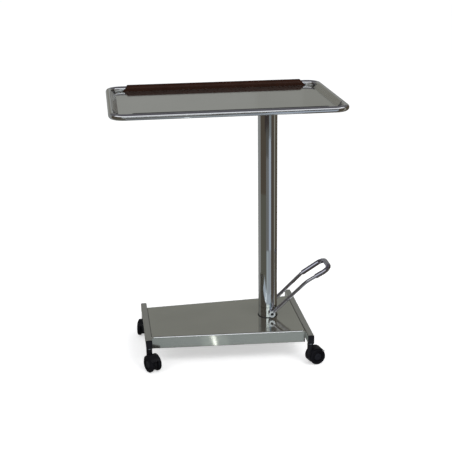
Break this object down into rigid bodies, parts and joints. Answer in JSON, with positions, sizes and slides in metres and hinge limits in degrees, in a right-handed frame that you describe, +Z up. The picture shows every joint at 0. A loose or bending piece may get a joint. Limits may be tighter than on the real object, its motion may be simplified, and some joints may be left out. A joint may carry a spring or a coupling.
{
  "type": "mayo table",
  "caption": "Hydraulic mayo instrument table: a tube-rimmed tray with a lift-off pan on an off-centre lift column, a foot pump lever, and a tapered steel base on twin-wheel casters.",
  "frame": {"origin": "on the floor, under the middle of the tray", "axes": "+Z up, +X along the tray's long side towards the column and the pump lever, +Y towards the side with the grip"},
  "size_m": [0.745, 0.496, 0.8862],
  "materials": {
    "polished_steel": "polished chromed steel tube",
    "satin_steel": "satin stainless sheet",
    "cast_steel": "machined and oiled steel",
    "brass": "turned brass",
    "grip_plastic": "dark brown moulded plastic",
    "black_plastic": "black moulded plastic",
    "sleeve_metal": "dull metallic sleeve",
    "slide_nylon": "natural nylon",
    "black_steel": "blackened steel",
    "wheel_tread": "black polyamide",
    "seal_rubber": "black rubber"
  },
  "bodies": {
    "base": {"base_plate": "satin_steel", "base_stiffener": "cast_steel", "side_bar_far": "satin_steel", "side_bar_near": "satin_steel", "caster_bushes": "polished_steel", "end_cap_front_far": "black_plastic", "end_cap_front_near": "black_plastic", "end_cap_rear_far": "black_plastic", "end_cap_rear_near": "black_plastic", "pump_block": "cast_steel", "foot_seal": "seal_rubber", "bleed_screw": "black_steel", "drain_plug": "brass", "pump_bolts": "polished_steel", "axle_bushes": "brass", "guide_tube": "polished_steel", "guide_top_bush": "slide_nylon", "cylinder_barrel": "cast_steel", "rod_gland": "brass"},
    "ram": {"piston_rod": "polished_steel", "piston_seal": "seal_rubber", "rod_screw": "black_steel"},
    "tray_carrier": {"lift_tube": "polished_steel", "lift_bush": "slide_nylon", "column_head": "satin_steel", "head_bolts": "polished_steel", "support_rails": "satin_steel", "rim_tube": "polished_steel", "rear_grip": "grip_plastic"},
    "pan": {"tray_pan": "satin_steel"},
    "lever": {"lever_rod": "polished_steel", "lever_sleeve": "sleeve_metal", "lever_axle": "cast_steel", "lever_crank": "cast_steel", "lever_screws": "black_steel"},
    "plunger": {"pump_plunger": "polished_steel", "plunger_spring": "polished_steel"},
    "caster_front_far": {"hood_front_far": "black_plastic", "stem_front_far": "polished_steel", "axle_front_far": "polished_steel"},
    "wheel_front_far_a": {"wheel_front_far_a": "wheel_tread"},
    "wheel_front_far_b": {"wheel_front_far_b": "wheel_tread"},
    "caster_front_near": {"hood_front_near": "black_plastic", "stem_front_near": "polished_steel", "axle_front_near": "polished_steel"},
    "wheel_front_near_a": {"wheel_front_near_a": "wheel_tread"},
    "wheel_front_near_b": {"wheel_front_near_b": "wheel_tread"},
    "caster_rear_far": {"hood_rear_far": "black_plastic", "stem_rear_far": "polished_steel", "axle_rear_far": "polished_steel"},
    "wheel_rear_far_a": {"wheel_rear_far_a": "wheel_tread"},
    "wheel_rear_far_b": {"wheel_rear_far_b": "wheel_tread"},
    "caster_rear_near": {"hood_rear_near": "black_plastic", "stem_rear_near": "polished_steel", "axle_rear_near": "polished_steel"},
    "wheel_rear_near_a": {"wheel_rear_near_a": "wheel_tread"},
    "wheel_rear_near_b": {"wheel_rear_near_b": "wheel_tread"}
  },
  "joints": [
    {"name": "column_lift", "type": "slide", "parent": "base", "child": "ram", "axis": [0, 0, 1], "range_m": [0, 0.4]},
    {"name": "tray_swivel", "type": "hinge", "parent": "ram", "child": "tray_carrier", "pos_m": [0.15, 0, 0.5], "axis": [0, 0, 1], "continuous": true},
    {"name": "pan_lift_off", "type": "slide", "parent": "tray_carrier", "child": "pan", "axis": [0, 0, 1], "range_m": [0, 0.06]},
    {"name": "lever_hinge", "type": "hinge", "parent": "base", "child": "lever", "pos_m": [0.158, 0, 0.121], "axis": [0, 1, 0], "range_deg": [0, 30], "stiffness_Nm_per_rad": 6, "springref_deg": -22.92},
    {"name": "plunger_slide", "type": "slide", "parent": "base", "child": "plunger", "axis": [0, 0, 1], "range_m": [-0.008, 0], "deforming": ["plunger_spring"]},
    {"name": "swivel_front_far", "type": "hinge", "parent": "base", "child": "caster_front_far", "pos_m": [-0.27475, -0.151, 0.072], "axis": [0, 0, 1], "continuous": true},
    {"name": "spin_front_far_a", "type": "hinge", "parent": "caster_front_far", "child": "wheel_front_far_a", "pos_m": [-0.26598, -0.16898, 0.0275], "axis": [0.8988, 0.4384, 0], "continuous": true},
    {"name": "spin_front_far_b", "type": "hinge", "parent": "caster_front_far", "child": "wheel_front_far_b", "pos_m": [-0.26598, -0.16898, 0.0275], "axis": [0.8988, 0.4384, 0], "continuous": true},
    {"name": "swivel_front_near", "type": "hinge", "parent": "base", "child": "caster_front_near", "pos_m": [0.26075, -0.1965, 0.072], "axis": [0, 0, 1], "continuous": true},
    {"name": "spin_front_near_a", "type": "hinge", "parent": "caster_front_near", "child": "wheel_front_near_a", "pos_m": [0.28016, -0.19166, 0.0275], "axis": [-0.2419, 0.9703, 0], "continuous": true},
    {"name": "spin_front_near_b", "type": "hinge", "parent": "caster_front_near", "child": "wheel_front_near_b", "pos_m": [0.28016, -0.19166, 0.0275], "axis": [-0.2419, 0.9703, 0], "continuous": true},
    {"name": "swivel_rear_far", "type": "hinge", "parent": "base", "child": "caster_rear_far", "pos_m": [-0.27475, 0.151, 0.072], "axis": [0, 0, 1], "continuous": true},
    {"name": "spin_rear_far_a", "type": "hinge", "parent": "caster_rear_far", "child": "wheel_rear_far_a", "pos_m": [-0.27891, 0.13144, 0.0275], "axis": [0.9781, -0.2079, 0], "continuous": true},
    {"name": "spin_rear_far_b", "type": "hinge", "parent": "caster_rear_far", "child": "wheel_rear_far_b", "pos_m": [-0.27891, 0.13144, 0.0275], "axis": [0.9781, -0.2079, 0], "continuous": true},
    {"name": "swivel_rear_near", "type": "hinge", "parent": "base", "child": "caster_rear_near", "pos_m": [0.26075, 0.1965, 0.072], "axis": [0, 0, 1], "continuous": true},
    {"name": "spin_rear_near_a", "type": "hinge", "parent": "caster_rear_near", "child": "wheel_rear_near_a", "pos_m": [0.24343, 0.2065, 0.0275], "axis": [-0.5, -0.866, 0], "continuous": true},
    {"name": "spin_rear_near_b", "type": "hinge", "parent": "caster_rear_near", "child": "wheel_rear_near_b", "pos_m": [0.24343, 0.2065, 0.0275], "axis": [-0.5, -0.866, 0], "continuous": true}
  ],
  "couplings": [
    {"joint": "plunger_slide", "follows": "lever_hinge", "m_per_rad": -0.013841}
  ]
}
